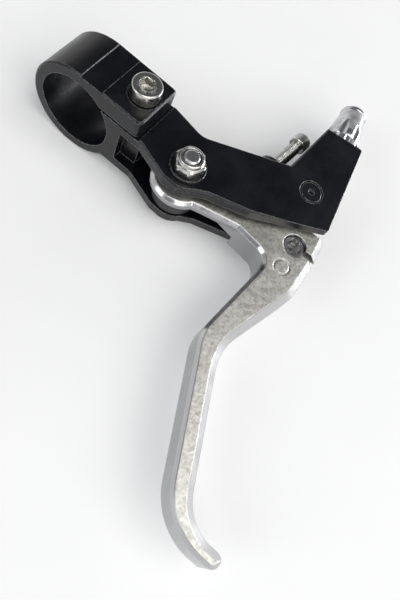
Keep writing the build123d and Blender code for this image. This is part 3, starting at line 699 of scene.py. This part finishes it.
def makePivotBolt(p):
    low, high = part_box("pivot_bolt")
    middle = ((low.x + high.x) / 2, (low.y + high.y) / 2)
    place = axisFrame((*middle, low.z + p["headHeight"] * mm), (0, 0, -1), p["spin"])
    count = 96
    length = (high.z - low.z) / mm - p["headHeight"]
    root = p["threadRadius"] - p["threadDepth"]
    rings = [
        roundRing(root - 0.45, -length, count),
        roundRing(root, -length + 0.35, count),
        roundRing(root, -length + p["threadLength"], count),
        roundRing(p["shankRadius"], -length + p["threadLength"] + 0.2, count),
        roundRing(p["shankRadius"], 0.0, count),
        roundRing(p["headRadius"] - 0.15, 0.0, count),
        roundRing(p["headRadius"], 0.15, count),
    ]
    rings += roundedEdge(p["headRadius"], p["headHeight"], p["headEdge"], count)
    faceRadius = p["headRadius"] - p["headEdge"] - 0.05
    rings += socketRings(faceRadius, p["headHeight"], p["key"], p["socketDepth"], count)
    thread = grow(threadTree, threadInputs, Radius=p["threadRadius"] * mm, Depth=p["threadDepth"] * mm,
                  Length=(p["threadLength"] - 0.8) * mm, Pitch=p["pitch"] * mm, Steps=28,
                  Finish=finishes["pivot_steel"])
    end = place @ Matrix.Translation((0, 0, -(length - 0.35) * mm))
    parts = [(loft("pivotBoltBody", rings), place), (thread, end)]
    piece = joinMeshes("pivotBoltDetailed", parts, finishes["pivot_steel"])
    standFor(piece, "bracket", "pivot_steel", "pivot_bolt")


makeClampScrew(clampScrew)
makeReachScrew(reachScrew)
makeLockNut(lockNut)
makePivotBolt(pivotBolt)
print("screws and nut made")


# floor, light and camera
def aim(item, place, target):
    item.location = place
    item.rotation_mode = "QUATERNION"
    item.rotation_quaternion = (Vector(target) - Vector(place)).to_track_quat("-Z", "Y")


def makeStudio(s):
    size = s["floorSize"] / 2
    level = cadBox[0].z
    mesh = bpy.data.meshes.new("floor")
    corners = [(-size, -size, level), (size, -size, level), (size, size, level), (-size, size, level)]
    mesh.from_pydata(corners, [], [(0, 1, 2, 3)])
    floor = bpy.data.objects.new("floor", mesh)
    bpy.context.scene.collection.objects.link(floor)
    material, tree, shader = newFinish("paleFloor")
    coords = put(tree, "ShaderNodeTexCoord", -900, 0)
    grain = noiseAt(tree, -600, 0, coords.outputs["Object"], 40.0, 4.0)
    paler = tuple(c * 1.03 for c in s["floorColour"])
    colour = mixColours(tree, -200, 0, grain.outputs["Fac"], s["floorColour"], paler)
    wire(tree, colour, shader.inputs["Base Color"])
    shader.inputs["Roughness"].default_value = 0.9
    shader.inputs["Specular IOR Level"].default_value = 0.1
    mesh.materials.append(material)
    for name, place, target, width, height, watts, colour in s["lamps"]:
        lamp = bpy.data.lights.new(name, "AREA")
        lamp.shape = "RECTANGLE"
        lamp.size = width
        lamp.size_y = height
        lamp.energy = watts
        lamp.color = colour
        holder = bpy.data.objects.new(name, lamp)
        bpy.context.scene.collection.objects.link(holder)
        aim(holder, place, target)
    world = bpy.data.worlds.new("softSky")
    bpy.context.scene.world = world
    world.use_nodes = True
    sky = world.node_tree
    where = put(sky, "ShaderNodeTexCoord", -800, 0)
    split = put(sky, "ShaderNodeSeparateXYZ", -600, 0)
    wire(sky, where.outputs["Generated"], split.inputs[0])
    height = ramp(sky, -400, 0, split.outputs["Z"], 0.05, 0.75)
    background = sky.nodes["Background"]
    wire(sky, mixColours(sky, -200, 0, height, s["horizon"], s["zenith"]), background.inputs["Color"])
    background.inputs["Strength"].default_value = s["skyStrength"]


def makeCamera(s):
    camera = bpy.data.objects.new("camera", bpy.data.cameras.new("camera"))
    bpy.context.scene.collection.objects.link(camera)
    place = Vector(s["place"])
    back = (place - Vector(s["lookAt"])).normalized()
    right = Vector(s["pictureUp"]).cross(back).normalized()
    up = back.cross(right)
    camera.matrix_world = Matrix((
        (right.x, up.x, back.x, place.x),
        (right.y, up.y, back.y, place.y),
        (right.z, up.z, back.z, place.z),
        (0, 0, 0, 1),
    ))
    camera.data.sensor_fit = "VERTICAL"
    camera.data.sensor_height = 36.0
    camera.data.lens = s["lens"]
    camera.data.clip_start = 0.005
    bpy.context.scene.camera = camera


makeStudio(studio)
makeCamera(shot)
bpy.context.scene.view_settings.view_transform = "Standard"
print("studio and camera set")
